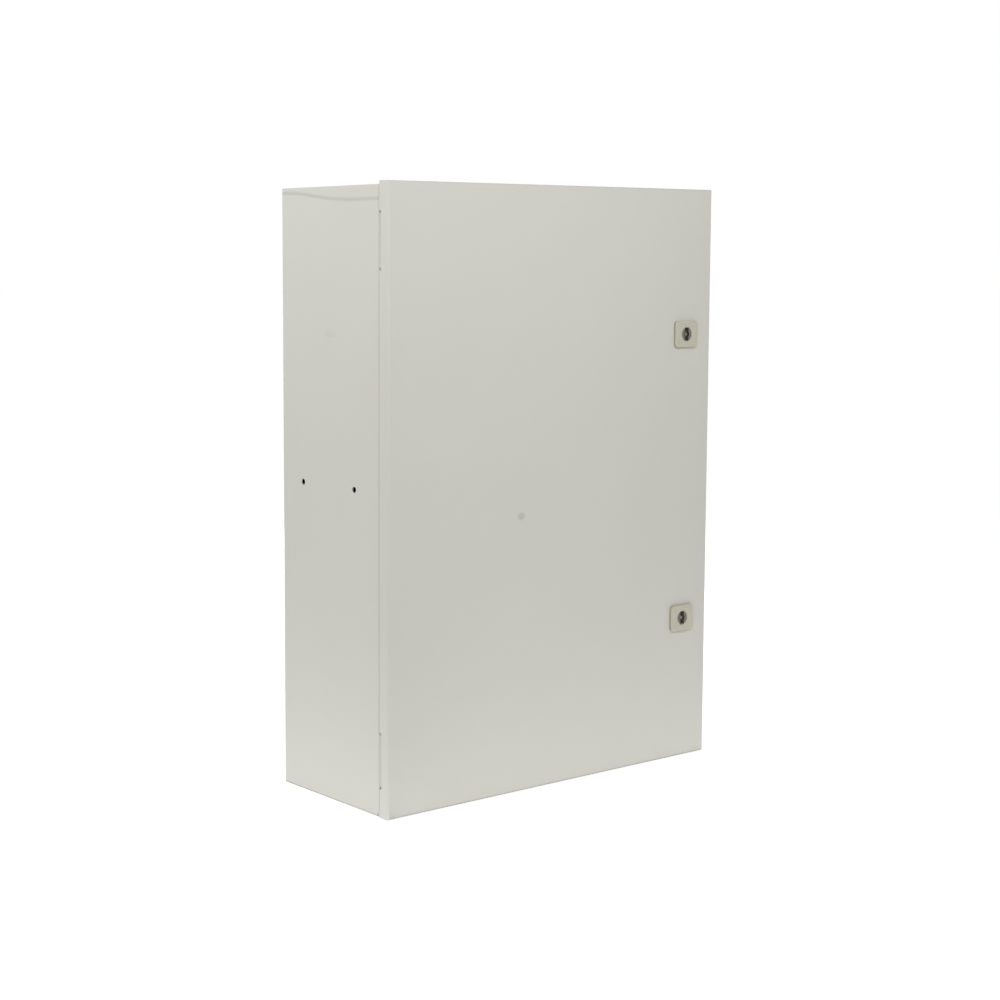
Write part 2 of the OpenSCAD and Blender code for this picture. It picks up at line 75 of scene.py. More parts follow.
def new_finish(name):
    """An empty finish: its material, tree and surface shader, and the place on the piece in metres."""
    material = bpy.data.materials.new(name)
    material.use_nodes = True
    tree = material.node_tree
    place = tree.nodes.new("ShaderNodeTexCoord").outputs["Object"]
    return material, tree, tree.nodes["Principled BSDF"], place


CLOUD_LOW = 0.3
CLOUD_HIGH = 0.7


def cloud(tree, place, per_metre, detail=2):
    """A cloudy pattern with so many lumps to the metre, mostly from CLOUD_LOW to CLOUD_HIGH."""
    sockets = {"Vector": place, "Scale": per_metre, "Detail": detail}
    return add_node(tree, "ShaderNodeTexNoise", sockets).outputs["Fac"]


def ranged(tree, value, low, high, to_low, to_high, smooth=False):
    """Carries a value from one range to another and holds it at the ends."""
    sockets = {"Value": value, "From Min": low, "From Max": high, "To Min": to_low, "To Max": to_high}
    kind = "SMOOTHSTEP" if smooth else "LINEAR"
    return add_node(tree, "ShaderNodeMapRange", sockets, interpolation_type=kind).outputs["Result"]


def reckon(tree, operation, first, second=0.0):
    """One step of arithmetic on two values."""
    return add_node(tree, "ShaderNodeMath", {0: first, 1: second}, operation=operation).outputs["Value"]


def axes(tree, place):
    """The X, Y and Z of a place."""
    return add_node(tree, "ShaderNodeSeparateXYZ", {"Vector": place}).outputs


def tone_between(tree, surface, share, first, second):
    """Colours the surface by a mix of two hex colours."""
    sockets = {"Fac": share, "Color1": seen_colour(first), "Color2": seen_colour(second)}
    mixed = add_node(tree, "ShaderNodeMixRGB", sockets).outputs["Color"]
    tree.links.new(mixed, surface.inputs["Base Color"])


def tint(tree, surface, share, code, strength=1.0):
    """Draws the surface's colour towards a hex colour where a share from 0 to 1 says."""
    tone = surface.inputs["Base Color"]
    fac = reckon(tree, "MULTIPLY", share, strength)
    sockets = {"Fac": fac, "Color1": tone.links[0].from_socket, "Color2": seen_colour(code)}
    mixed = add_node(tree, "ShaderNodeMixRGB", sockets).outputs["Color"]
    tree.links.new(mixed, tone)


def gloss_between(tree, surface, share, first, second):
    """Runs the surface's roughness between two values."""
    roughness = ranged(tree, share, CLOUD_LOW, CLOUD_HIGH, first, second)
    tree.links.new(roughness, surface.inputs["Roughness"])


def raise_surface(tree, surface, height, depth):
    """Raises the surface by a pattern from 0 to 1, to a depth in metres, on top of what it has."""
    sockets = {"Height": height, "Distance": depth, "Strength": 1.0}
    before = surface.inputs["Normal"]
    if before.is_linked:
        sockets["Normal"] = before.links[0].from_socket
    bump = add_node(tree, "ShaderNodeBump", sockets).outputs["Normal"]
    tree.links.new(bump, before)


def oval(tree, place, centre, half_sizes, softness):
    """1 inside an oval, falling to 0 past its edge; an axis whose half size is zero is left out."""
    scale = [1 / half if half else 0 for half in half_sizes]
    offset = [-c * s for c, s in zip(centre, scale)]
    mapping = add_node(tree, "ShaderNodeMapping", {"Vector": place, "Scale": scale, "Location": offset})
    sockets = {0: mapping.outputs["Vector"]}
    reach = add_node(tree, "ShaderNodeVectorMath", sockets, operation="LENGTH").outputs["Value"]
    return ranged(tree, reach, 1 - softness, 1 + softness, 1, 0, smooth=True)


def powder_coat(name):
    """Light grey powder coat on slack sheet: faint clouds, a satin gloss and a fine orange peel."""
    clouds_per_metre = 9
    peel_per_metre = 620
    peel_depth = 0.035 * MM
    slack_per_metre = 5
    slack_depth = 0.5 * MM
    material, tree, surface, place = new_finish(name)
    clouds = cloud(tree, place, clouds_per_metre, 4)
    tone_between(tree, surface, clouds, "#cbcac2", "#cfcec6")
    gloss_between(tree, surface, clouds, 0.52, 0.6)
    surface.inputs["Specular IOR Level"].default_value = 0.25
    raise_surface(tree, surface, cloud(tree, place, peel_per_metre, 3), peel_depth)
    raise_surface(tree, surface, cloud(tree, place, slack_per_metre, 1), slack_depth)
    return material, tree, surface, place


def finish_nodes(names, finish):
    """Gives nodes of the frame one finish."""
    for name in names:
        slots = frame["nodes"][name].data.materials
        slots.clear()
        slots.append(finish)


shell_low, shell_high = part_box("cabinet_shell")
skin = 0.5 * MM
crease_front_z = shell_high.z - 15.8 * MM
crease_back_z = shell_high.z - 6.0 * MM
crease_front_y = -30 * MM
crease_back_y = 95 * MM
crease_half_width = 3.4 * MM
crease_dent = 0.3 * MM
scuff_centre = (0, 8 * MM, 533 * MM)
scuff_half = (0, 10 * MM, 3 * MM)
scuff_streaks_per_metre = 180

shell_coat, tree, surface, place = powder_coat("shell_powder_coat")
where = axes(tree, place)
on_left_wall = reckon(tree, "LESS_THAN", where["X"], shell_low.x + skin)
line_z = ranged(tree, where["Y"], crease_front_y, crease_back_y,
                crease_front_z, crease_back_z, smooth=True)
off_line = reckon(tree, "ABSOLUTE", reckon(tree, "SUBTRACT", where["Z"], line_z))
crease_depth = ranged(tree, off_line, 0, crease_half_width, 1, 0, smooth=True)
crease = reckon(tree, "MULTIPLY", crease_depth, on_left_wall)
# Painted shade: the crease's line is darkened in colour; the bump below sinks the sheet along it.
tint(tree, surface, crease, "#a5a49c", 0.4)
raise_surface(tree, surface, crease, -crease_dent)
scuff_area = reckon(tree, "MULTIPLY", oval(tree, place, scuff_centre, scuff_half, 0.7), on_left_wall)
streaks = ranged(tree, cloud(tree, place, scuff_streaks_per_metre, 3), 0.4, 0.6, 0.4, 1)
scuff = reckon(tree, "MULTIPLY", scuff_area, streaks)
tint(tree, surface, scuff, "#b4b3aa", 0.3)
finish_nodes(["cabinet_shell"], shell_coat)


# Cable entry: a plain coated plate over the opening in the floor, on a foam frame.
# Six welded steel studs with a rolled thread and plated nuts hold it down from inside.
def deselect():
    """Nothing stays selected, so that the next operator acts on the new piece alone."""
    bpy.ops.object.select_all(action="DESELECT")


def edit(piece, test=None, mode="VERT"):
    """Opens a piece in edit mode with the vertices that a test picks, or with all of them."""
    bpy.context.view_layer.objects.active = piece
    bpy.ops.object.mode_set(mode="EDIT")
    bpy.ops.mesh.select_mode(type="VERT")
    bpy.ops.mesh.select_all(action="SELECT" if test is None else "DESELECT")
    if test is not None:
        bpy.ops.object.mode_set(mode="OBJECT")
        for vertex in piece.data.vertices:
            vertex.select = test(vertex.co)
        bpy.ops.object.mode_set(mode="EDIT")
    bpy.ops.mesh.select_mode(type=mode)


def leave_edit():
    """Goes back to object mode."""
    bpy.ops.object.mode_set(mode="OBJECT")


def bar(radius, bottom, top, sides=64, turn=0.0):
    """A round or many-sided bar along Z."""
    deselect()
    middle = (0, 0, (bottom + top) / 2)
    bpy.ops.mesh.primitive_cylinder_add(vertices=sides, radius=radius, depth=top - bottom,
                                        location=middle, rotation=(0, 0, turn))
    bpy.ops.object.transform_apply(location=True, rotation=True, scale=True)
    return bpy.context.object


def combine(piece, tool, operation, solver="EXACT"):
    """Unites a piece with a tool, cuts the tool out or keeps what they share; the tool is used up."""
    modifier = piece.modifiers.new(operation.lower(), "BOOLEAN")
    modifier.operation = operation
    modifier.solver = solver
    modifier.object = tool
    bpy.context.view_layer.objects.active = piece
    bpy.ops.object.modifier_apply(modifier=modifier.name)
    bpy.data.objects.remove(tool)


THREAD_STEPS = 24
SPARE_TURNS = 2


def threaded_rod(radius, pitch, length, depth_share=0.6):
    """A rod with a rolled thread, from the origin up Z: one turn's profile, screwed up, cut square."""
    root = radius - depth_share * pitch
    deselect()
    bpy.ops.mesh.primitive_circle_add(vertices=3, radius=radius, fill_type="NOTHING")
    rod = bpy.context.object
    for vertex, reach, rise in zip(rod.data.vertices, (root, radius, root), (0, 0.5, 1)):
        vertex.co = (reach, 0, rise * pitch)
    edit(rod, lambda p: p.x < (root + radius) / 2, mode="EDGE")
    bpy.ops.mesh.delete(type="EDGE")
    leave_edit()
    screw = rod.modifiers.new("thread", "SCREW")
    screw.screw_offset = pitch
    screw.iterations = math.ceil(length / pitch) + SPARE_TURNS
    screw.steps = THREAD_STEPS
    screw.render_steps = THREAD_STEPS
    bpy.ops.object.modifier_apply(modifier="thread")
    edit(rod)
    bpy.ops.mesh.remove_doubles(threshold=pitch / 1000)
    for level, above in ((pitch, False), (pitch + length, True)):
        bpy.ops.mesh.select_all(action="SELECT")
        bpy.ops.mesh.bisect(plane_co=(0, 0, level), plane_no=(0, 0, 1), use_fill=True,
                            clear_inner=not above, clear_outer=above)
    bpy.ops.mesh.select_all(action="SELECT")
    bpy.ops.mesh.normals_make_consistent(inside=False)
    bpy.ops.transform.translate(value=(0, 0, -pitch))
    leave_edit()
    return rod


LEAD_IN_SHARE = 0.86


def stud(radius, pitch, length):
    """A threaded rod whose last turn is drawn in to a blunt lead-in."""
    rod = threaded_rod(radius, pitch, length)
    edit(rod, lambda p: p.z > length - pitch)
    bpy.ops.transform.resize(value=(LEAD_IN_SHARE, LEAD_IN_SHARE, 1), center_override=(0, 0, length))
    leave_edit()
    return rod


HEX_FACE_SHARE = 0.47
HEX_BLANK_SHARE = 1.02
HEX_BLANK_SIDES = 60
HEX_CHAMFER = math.radians(30)


def hex_head(across, height, turn=0.0):
    """A hexagon with both ends turned down to a cone, from the origin up Z."""
    corner = across / math.sqrt(3)
    face = HEX_FACE_SHARE * across
    blank = HEX_BLANK_SHARE * corner
    cone = (blank - face) * math.tan(HEX_CHAMFER)
    narrowing = (face / blank, face / blank, 1)
    head = bar(corner, 0, height, sides=6, turn=turn)
    turned = bar(blank, cone, height - cone, sides=HEX_BLANK_SIDES)
    for level, shift in ((height - cone, cone), (cone, -cone)):
        edit(turned, lambda p: abs(p.z - level) < cone / 10, mode="FACE")
        bpy.ops.mesh.extrude_region_move(TRANSFORM_OT_translate={"value": (0, 0, shift)})
        bpy.ops.transform.resize(value=narrowing, center_override=(0, 0, level + shift))
        leave_edit()
    # This solver gives the same mesh each run where the cones graze the flats.
    combine(head, turned, "INTERSECT", "MANIFOLD")
    return head


def nut(across, height, bore, turn=0.0):
    """A chamfered hexagon nut, from the origin up Z."""
    piece = hex_head(across, height, turn)
    combine(piece, bar(bore, -height, 2 * height), "DIFFERENCE", "MANIFOLD")
    return piece


def copies(piece, places, along):
    """A piece repeated at each place, turned from Z to lie along a direction, joined in one mesh."""
    turn = Vector((0, 0, 1)).rotation_difference(Vector(along)).to_matrix().to_4x4()
    made = []
    for point in places:
        copy = piece.copy()
        copy.data = piece.data.copy()
        bpy.context.collection.objects.link(copy)
        copy.data.transform(Matrix.Translation(point) @ turn)
        made.append(copy)
    bpy.data.objects.remove(piece)
    deselect()
    for copy in made:
        copy.select_set(True)
    bpy.context.view_layer.objects.active = made[0]
    if len(made) > 1:
        bpy.ops.object.join()
    return made[0]


MERGE_REACH = 0.001 * MM
SMOOTH_ANGLE = math.radians(28)


def fit(piece, name, finish, body, stands_for=None):
    """Names a finished piece, gives it its finish, hangs it on a body and puts it in a node's stead."""
    piece.name = name
    piece.data.name = name
    piece.data.materials.clear()
    piece.data.materials.append(finish)
    edit(piece)
    bpy.ops.mesh.remove_doubles(threshold=MERGE_REACH)
    bpy.ops.mesh.dissolve_degenerate(threshold=MERGE_REACH)
    leave_edit()
    deselect()
    piece.select_set(True)
    bpy.ops.object.shade_smooth_by_angle(angle=SMOOTH_ANGLE)
    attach(piece, body)
    if stands_for is not None:
        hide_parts(stands_for)


def bare_metal(name, dark, light, rough):
    """A metal with cloudy tarnish, uneven gloss and a fine grain."""
    tarnish_per_metre = 130
    grain_per_metre = 2200
    grain_depth = 0.01 * MM
    brighter = rough - 0.06
    duller = rough + 0.08
    material, tree, surface, place = new_finish(name)
    tarnish = cloud(tree, place, tarnish_per_metre, 4)
    tone_between(tree, surface, tarnish, dark, light)
    gloss_between(tree, surface, tarnish, brighter, duller)
    surface.inputs["Metallic"].default_value = 1.0
    raise_surface(tree, surface, cloud(tree, place, grain_per_metre, 3), grain_depth)
    return material


M6_RADIUS = 3 * MM
M6_PITCH = 1.0 * MM
M6_ACROSS = 10 * MM
QUARTER_TURN = math.pi / 2
zinc = bare_metal("zinc_plating", "#a9abad", "#c9ccce", 0.34)
steel = bare_metal("drawn_steel", "#8a8987", "#a3a19d", 0.36)

low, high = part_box("gland_studs")
gland_places = [Vector((x, y, low.z))
                for x in (low.x + M6_RADIUS, (low.x + high.x) / 2, high.x - M6_RADIUS)
                for y in (low.y + M6_RADIUS, high.y - M6_RADIUS)]
gland_studs = copies(stud(M6_RADIUS, M6_PITCH, high.z - low.z), gland_places, (0, 0, 1))
fit(gland_studs, "gland_studs_threaded", steel, "cabinet", "gland_studs")
low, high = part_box("gland_nuts")
nut_places = [Vector((p.x, p.y, low.z)) for p in gland_places]
gland_nuts = copies(nut(M6_ACROSS, high.z - low.z, M6_RADIUS, QUARTER_TURN), nut_places, (0, 0, 1))
fit(gland_nuts, "gland_nuts_chamfered", zinc, "cabinet", "gland_nuts")

pores_per_metre = 900
pore_depth = 0.12 * MM
swells_per_metre = 160
swell_depth = 0.35 * MM
foam, tree, surface, place = new_finish("polyurethane_foam")
pores = add_node(tree, "ShaderNodeTexVoronoi", {"Vector": place, "Scale": pores_per_metre})
swell = cloud(tree, place, swells_per_metre, 3)
tone_between(tree, surface, swell, "#3a3a3c", "#4c4c4e")
gloss_between(tree, surface, swell, 0.85, 0.95)
surface.inputs["Specular IOR Level"].default_value = 0.2
raise_surface(tree, surface, pores.outputs["Distance"], pore_depth)
raise_surface(tree, surface, swell, swell_depth)
finish_nodes(["gland_seal"], foam)

plain_coat = powder_coat("plain_powder_coat")[0]
finish_nodes(["gland_plate"], plain_coat)


# Mounting plate: 2 mm galvanised sheet with cut corners, whose zinc shows its crystal spangle.
# It stands on four spacer tubes over studs welded to the back wall, under washers and plated nuts.
def soften(piece, width):
    """Rounds every sharp edge of a piece a little."""
    bevel = piece.modifiers.new("softened", "BEVEL")
    bevel.width = width
    bevel.segments = 2
    bevel.limit_method = "ANGLE"
    bevel.angle_limit = math.radians(50)
    bpy.context.view_layer.objects.active = piece
    bpy.ops.object.modifier_apply(modifier="softened")


def ring(outer, inner, height, edge):
    """A turned ring with softened edges, from the origin up Z."""
    piece = bar(outer, 0, height)
    combine(piece, bar(inner, -height, 2 * height), "DIFFERENCE")
    soften(piece, edge)
    return piece


M8_RADIUS = 4 * MM
M8_PITCH = 1.25 * MM
M8_ACROSS = 13 * MM
M8_WASHER_RADIUS = 8 * MM
BOLT_PLAY = 0.25 * MM
TURNED_EDGE = 0.25 * MM
spangles_per_metre = 110
blotches_per_metre = 24
frost_per_metre = 900
frost_depth = 0.015 * MM

galvanised, tree, surface, place = new_finish("galvanised_sheet")
crystals = add_node(tree, "ShaderNodeTexVoronoi", {"Vector": place, "Scale": spangles_per_metre})
flake = add_node(tree, "ShaderNodeSeparateColor", {"Color": crystals.outputs["Color"]}).outputs["Red"]
tone_between(tree, surface, flake, "#a4a8aa", "#bfc3c5")
tint(tree, surface, cloud(tree, place, blotches_per_metre, 4), "#b4b8ba", 0.8)
gloss_between(tree, surface, flake, 0.34, 0.52)
surface.inputs["Metallic"].default_value = 1.0
raise_surface(tree, surface, cloud(tree, place, frost_per_metre, 2), frost_depth)
finish_nodes(["mounting_plate"], galvanised)

low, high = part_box("plate_studs")
bolt_places = [(x, z)
               for x in (low.x + M8_RADIUS, high.x - M8_RADIUS)
               for z in (low.z + M8_RADIUS, high.z - M8_RADIUS)]


def on_bolts(made, node, name, finish):
    """Puts a piece on each of the plate's four bolts, standing forward from the back of its node."""
    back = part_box(node)[1].y
    places = [Vector((x, back, z)) for x, z in bolt_places]
    fit(copies(made, places, (0, -1, 0)), name, finish, "cabinet", node)


def depth_of(node):
    """How far a node reaches from front to back."""
    low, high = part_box(node)
    return high.y - low.y


on_bolts(stud(M8_RADIUS, M8_PITCH, depth_of("plate_studs")),
         "plate_studs", "plate_studs_threaded", steel)
on_bolts(ring(M8_WASHER_RADIUS, M8_RADIUS + BOLT_PLAY, depth_of("plate_spacers"), TURNED_EDGE),
         "plate_spacers", "plate_spacers_turned", zinc)
on_bolts(ring(M8_WASHER_RADIUS, M8_RADIUS + BOLT_PLAY, depth_of("plate_washers"), TURNED_EDGE),
         "plate_washers", "plate_washers_stamped", zinc)
on_bolts(nut(M8_ACROSS, depth_of("plate_nuts"), M8_RADIUS),
         "plate_nuts", "plate_nuts_chamfered", zinc)


# Earth stud of the body: a brass stud on the left wall with a plated washer and a brass nut.
# The bonding lead of the door goes on it.
def earth_set(owner, body, size, along, turn):
    """Threaded stud, washer and nut of one earth point, standing out from its panel."""
    radius, pitch, across, washer_radius = size
    axis = Vector(along)
    pieces = (("stud", brass, "brass"), ("washer", zinc, "zinc"), ("nut", brass, "brass"))
    for piece_name, finish, slot in pieces:
        node = f"{owner}_earth_{piece_name}"
        low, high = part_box(node)
        length = abs((high - low).dot(axis))
        foot = (low + high) / 2 - axis * length / 2
        if piece_name == "stud":
            made = stud(radius, pitch, length)
        elif piece_name == "washer":
            made = ring(washer_radius, radius + BOLT_PLAY, length, TURNED_EDGE)
        else:
            made = nut(across, length, radius, turn)
        fit(copies(made, [foot], along), f"{node}_finished", finish, body, node)


M6_WASHER_RADIUS = 6 * MM
brass = bare_metal("plain_brass", "#b0914f", "#d2b878", 0.34)
m6_size = (M6_RADIUS, M6_PITCH, M6_ACROSS, M6_WASHER_RADIUS)
m8_size = (M8_RADIUS, M8_PITCH, M8_ACROSS, M8_WASHER_RADIUS)
earth_set("body", "cabinet", m8_size, (1, 0, 0), QUARTER_TURN)


# Concealed hinges: strip bent round the path of the door's flange, with two rolled barrels each.
# The brackets are welded to the front flange and coated with the body.
# A headed pin of drawn steel runs through each bracket's barrels.
NEAR = 0.01 * MM


def near(value, target):
    """True where a measure lies close to a target."""
    return abs(value - target) < NEAR


def round_edges(piece, test, width, segments):
    """Rounds the edges whose two ends pass a test."""
    edit(piece, lambda p: False, mode="EDGE")
    leave_edit()
    for edge in piece.data.edges:
        ends = [piece.data.vertices[k].co for k in edge.vertices]
        edge.select = test(*ends)
    bpy.ops.object.mode_set(mode="EDIT")
    bpy.ops.mesh.bevel(offset=width, segments=segments, affect="EDGES")
    leave_edit()


PIN_RADIUS = 2 * MM
PIN_POINT_EDGE = 0.5 * MM
PIN_HEAD = 1.5 * MM
PIN_HEAD_EDGE = 0.8 * MM
FOOT_REACH = 2.85 * MM
WELD_RADIUS = 1.4 * MM
WELD_RIPPLE = 1.5 * MM
WELD_RIPPLE_SHARE = 0.08
WELD_SINK = 0.3 * MM
WELD_END = 3 * MM


def weld_bead(length):
    """A run of weld with its gentle ripples, from the origin up Z."""
    return threaded_rod(WELD_RADIUS, WELD_RIPPLE, length, WELD_RIPPLE_SHARE)


finish_nodes(["upper_hinge_bracket", "lower_hinge_bracket"], plain_coat)

hinge = next(j for j in frame["joints"] if j["name"] == "door_swing")
hinge_axis = Vector(hinge["pos_m"])
for level in ("upper", "lower"):
    low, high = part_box(f"{level}_hinge_pin")
    length = high.z - low.z
    head_radius = (high.x - low.x) / 2
    pin = bar(PIN_RADIUS, 0, length - PIN_HEAD / 2)
    round_edges(pin, lambda a, b: near(a.z, 0) and near(b.z, 0), PIN_POINT_EDGE, 2)
    head = bar(head_radius, length - PIN_HEAD, length)
    round_edges(head, lambda a, b: near(a.z, length) and near(b.z, length), PIN_HEAD_EDGE, 3)
    combine(pin, head, "UNION")
    pin = copies(pin, [Vector((hinge_axis.x, hinge_axis.y, low.z))], (0, 0, 1))
    fit(pin, f"{level}_hinge_pin_headed", steel, "cabinet", f"{level}_hinge_pin")

    low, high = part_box(f"{level}_hinge_bracket")
    weld_start = hinge_axis.x
    weld_length = high.x - weld_start - WELD_END
    weld_places = [Vector((weld_start, high.y - WELD_SINK, z)) for z in (low.z, high.z)]
    weld = copies(weld_bead(weld_length), weld_places, (1, 0, 0))
    fit(weld, f"{level}_hinge_bracket_welds", plain_coat, "cabinet")
    seam_place = Vector((hinge_axis.x - FOOT_REACH, high.y - WELD_RADIUS, low.z + WELD_RADIUS))
    seam_length = high.z - low.z - 2 * WELD_RADIUS
    seam = copies(weld_bead(seam_length), [seam_place], (0, 0, 1))
    fit(seam, f"{level}_hinge_bracket_seam", plain_coat, "cabinet")


# Door: 1.5 mm sheet folded to a pan with closed corners, coated like the body.
# One small grey blemish sits left of the middle, where the coat was knocked.
door_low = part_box("door_panel")[0]
blemish_centre = (door_low.x + 192.5 * MM, 0, door_low.z + 323 * MM)
blemish_half = (5.2 * MM, 0, 4.3 * MM)
blemish_dent = 0.1 * MM

door_coat, tree, surface, place = powder_coat("door_powder_coat")
on_front = reckon(tree, "LESS_THAN", axes(tree, place)["Y"], door_low.y + skin)
blemish = reckon(tree, "MULTIPLY", oval(tree, place, blemish_centre, blemish_half, 0.35), on_front)
tint(tree, surface, blemish, "#a6a59a", 0.45)
raise_surface(tree, surface, blemish, -blemish_dent)
finish_nodes(["door_panel"], door_coat)


# Door gasket: polyurethane foamed in place as one bead, dark grey with a closed skin.
# It is stuck to the inside of the door, in line with the body's lip.
finish_nodes(["door_gasket"], foam)


# Door rails and hinge leaves: perforated channels and barrels, welded into the door and coated with it.
# Trays and cable clips are screwed to the rails.
finish_nodes(["left_door_rail", "right_door_rail"], plain_coat)
finish_nodes(["upper_hinge_leaf", "lower_hinge_leaf"], plain_coat)


# Earth stud of the door: a smaller brass stud with washer and nut inside the lower left corner.
# It is welded to the panel before coating.
earth_set("door", "door", m6_size, (0, 1, 0), 0.0)


# Lock housings: moulded in cream plastic, a soft-edged face plate on a threaded neck with two flats.
# A rubber ring seals the plate to the door and a thin plated nut clamps it from inside.
# The plate's sides, behind its face, are darkened with painted shade.
def block(size, middle):
    """A rectangular block about a middle point."""
    deselect()
    bpy.ops.mesh.primitive_cube_add(size=1, location=middle)
    bpy.context.object.scale = size
    bpy.ops.object.transform_apply(location=True, rotation=True, scale=True)
    return bpy.context.object


NECK_RADIUS = 11 * MM
NECK_FLAT = 10.1 * MM
NECK_PITCH = 1.5 * MM
PLATE_CORNER = 5 * MM
PLATE_EDGE = 0.9 * MM
HEAD_BORE = 8.8 * MM
HEAD_BORE_DEPTH = 6.7 * MM
SHANK_BORE = 6.05 * MM
BORE_EDGE = 0.35 * MM
SEAL_PLAY = 0.1 * MM
LOCK_NUT_ACROSS = 27 * MM


def lock_housing(width, height, thick, neck_length, seal_radius, seal_thick):
    """A face plate with its seal's recess, on a flatted and threaded neck with a stepped bore."""
    def on_rim(point):
        """True on the edge of the bore in the plate's face."""
        return near(point.z, thick) and near(point.xy.length, HEAD_BORE)

    plate = block((width, height, thick), (0, 0, thick / 2))
    round_edges(plate, lambda a, b: near(a.x, b.x) and near(a.y, b.y), PLATE_CORNER, 8)
    round_edges(plate, lambda a, b: near(a.z, thick) and near(b.z, thick), PLATE_EDGE, 4)
    combine(plate, bar(seal_radius + SEAL_PLAY, -thick, seal_thick), "DIFFERENCE")
    neck = threaded_rod(NECK_RADIUS, NECK_PITCH, neck_length + thick / 2)
    neck.data.transform(Matrix.Translation((0, 0, -neck_length)))
    for side in (-1, 1):
        edit(neck)
        bpy.ops.mesh.bisect(plane_co=(side * NECK_FLAT, 0, 0), plane_no=(side, 0, 0),
                            use_fill=True, clear_outer=True)
        leave_edit()
    combine(plate, neck, "UNION")
    combine(plate, bar(HEAD_BORE, thick - HEAD_BORE_DEPTH, 2 * thick), "DIFFERENCE")
    combine(plate, bar(SHANK_BORE, -2 * neck_length, 2 * thick), "DIFFERENCE")
    round_edges(plate, lambda a, b: on_rim(a) and on_rim(b), BORE_EDGE, 2)
    return plate


def on_lock(piece, axis_point):
    """Turns a lock's piece from Z to face out of the door and puts it on the lock's axis."""
    piece.data.transform(Matrix.Translation(axis_point) @ Matrix.Rotation(QUARTER_TURN, 4, "X"))
    return piece


lock_axes = {j["name"].split("_")[0]: Vector(j["pos_m"])
             for j in frame["joints"] if j["name"].endswith("lock_turn")}

plate_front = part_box("upper_lock_housing")[0].y
painted_shade_start = plate_front + 0.8 * MM
painted_shade_full = plate_front + 1.6 * MM
flow_marks_per_metre = 60
mould_grain_per_metre = 1500
mould_grain_depth = 0.02 * MM
cream, tree, surface, place = new_finish("cream_moulding")
flow = cloud(tree, place, flow_marks_per_metre, 3)
tone_between(tree, surface, flow, "#b9b5a4", "#c0bcab")
# Painted shade: everything more than about 1 mm behind the plate's face, its sides too, is darkened.
painted_shade_on_sides = ranged(tree, axes(tree, place)["Y"], painted_shade_start, painted_shade_full, 0, 1)
tint(tree, surface, painted_shade_on_sides, "#8e897b", 0.55)
gloss_between(tree, surface, flow, 0.42, 0.52)
raise_surface(tree, surface, cloud(tree, place, mould_grain_per_metre, 2), mould_grain_depth)

blooms_per_metre = 120
rubber_grain_per_metre = 1200
rubber_grain_depth = 0.03 * MM
rubber, tree, surface, place = new_finish("moulded_rubber")
bloom = cloud(tree, place, blooms_per_metre, 3)
tone_between(tree, surface, bloom, "#1e1e20", "#323234")
gloss_between(tree, surface, bloom, 0.68, 0.8)
raise_surface(tree, surface, cloud(tree, place, rubber_grain_per_metre, 2), rubber_grain_depth)
finish_nodes(["upper_lock_seal", "lower_lock_seal"], rubber)

for level, axis_point in lock_axes.items():
    low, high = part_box(f"{level}_lock_housing")
    seal_low, seal_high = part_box(f"{level}_lock_seal")
    housing = lock_housing(high.x - low.x, high.z - low.z, axis_point.y - low.y, high.y - axis_point.y,
                           (seal_high.x - seal_low.x) / 2, seal_high.y - seal_low.y)
    fit(on_lock(housing, axis_point), f"{level}_lock_housing_moulded", cream,
        "door", f"{level}_lock_housing")
    low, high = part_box(f"{level}_lock_nut")
    lock_nut_place = [Vector((axis_point.x, low.y, axis_point.z))]
    lock_nut = copies(nut(LOCK_NUT_ACROSS, high.y - low.y, NECK_RADIUS), lock_nut_place, (0, 1, 0))
    fit(lock_nut, f"{level}_lock_nut_chamfered", zinc, "door", f"{level}_lock_nut")


# Lock inserts: die-cast, with a round head, a double-bit keyway round a pin, and a square-ended shank.
# The face is dulled, and the turned rim shines where keys have rubbed it.
# The keyway is dark with old grease.
HEAD_LENGTH = 6 * MM
HEAD_EDGE = 0.6 * MM
KEYWAY_RADIUS = 4.5 * MM
KEYWAY_DEPTH = 4.5 * MM
WING_WIDTH = 6.5 * MM
WING_REACH = 8 * MM
KEY_PIN_RADIUS = 2.5 * MM
KEY_PIN_SET_BACK = 1 * MM
KEY_PIN_EDGE = 0.8 * MM
SHANK_RADIUS = 6 * MM
SQUARE = 8 * MM
SQUARE_LENGTH = 2.3 * MM
SCREW_RADIUS = 3 * MM
SCREW_LENGTH = 8 * MM


def lock_insert(radius, front, back):
    """The insert from its face down to the end of its square, about the lock's axis."""
    floor_z = front - KEYWAY_DEPTH
    head_back = front - HEAD_LENGTH
    piece = bar(radius, head_back, front)
    round_edges(piece, lambda a, b: near(a.z, front) and near(b.z, front), HEAD_EDGE, 3)
    combine(piece, bar(KEYWAY_RADIUS, floor_z, 2 * front), "DIFFERENCE")
    wings = block((WING_WIDTH, 2 * WING_REACH, 2 * KEYWAY_DEPTH), (0, 0, front))
    combine(piece, wings, "DIFFERENCE")
    pin_top = front - KEY_PIN_SET_BACK
    key_pin = bar(KEY_PIN_RADIUS, floor_z - KEY_PIN_SET_BACK, pin_top)
    round_edges(key_pin, lambda a, b: near(a.z, pin_top) and near(b.z, pin_top), KEY_PIN_EDGE, 3)
    combine(piece, key_pin, "UNION")
    combine(piece, bar(SHANK_RADIUS, back + SQUARE_LENGTH, head_back + KEY_PIN_SET_BACK), "UNION")
    combine(piece, block((SQUARE, SQUARE, 2 * SQUARE_LENGTH), (0, 0, back + SQUARE_LENGTH)), "UNION")
    combine(piece, bar(SCREW_RADIUS, 2 * back, back + SCREW_LENGTH), "DIFFERENCE")
    return piece


